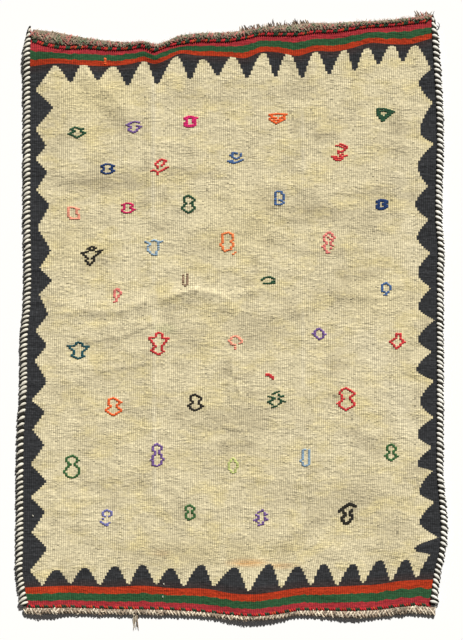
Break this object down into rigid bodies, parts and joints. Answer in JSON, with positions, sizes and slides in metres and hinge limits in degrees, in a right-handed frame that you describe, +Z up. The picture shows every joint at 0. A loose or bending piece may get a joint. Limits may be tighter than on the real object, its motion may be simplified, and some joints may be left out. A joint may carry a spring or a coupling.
{
  "type": "kilim",
  "caption": "Flat-woven wool rug laid flat: cream field, dark toothed border, striped and plaited ends, overcast sides and a few loose warp ends.",
  "frame": {"origin": "on the surface, under the middle of the rug's box", "axes": "+X towards the picture's right side, +Y towards the picture's top end, +Z up out of the face"},
  "size_m": [1.0391, 1.4925, 0.0154],
  "materials": {
    "cloth_wool": "weft-faced flat weave in cream wool with fine ribs, charcoal teeth and orange, green and crimson stripes",
    "overcast_wool": "matte wool yarn, black and white wraps in turn",
    "plait_wool": "matte grey-beige undyed wool, plaited",
    "loose_wool": "matte frayed wool ends"
  },
  "bodies": {
    "root": {"cloth": "cloth_wool", "selvedge_left": "overcast_wool", "selvedge_right": "overcast_wool", "plait_top": "plait_wool", "plait_bottom": "plait_wool", "fringe_top": "loose_wool", "tuft_corner": "loose_wool", "tuft_bottom": "loose_wool"}
  },
  "joints": []
}
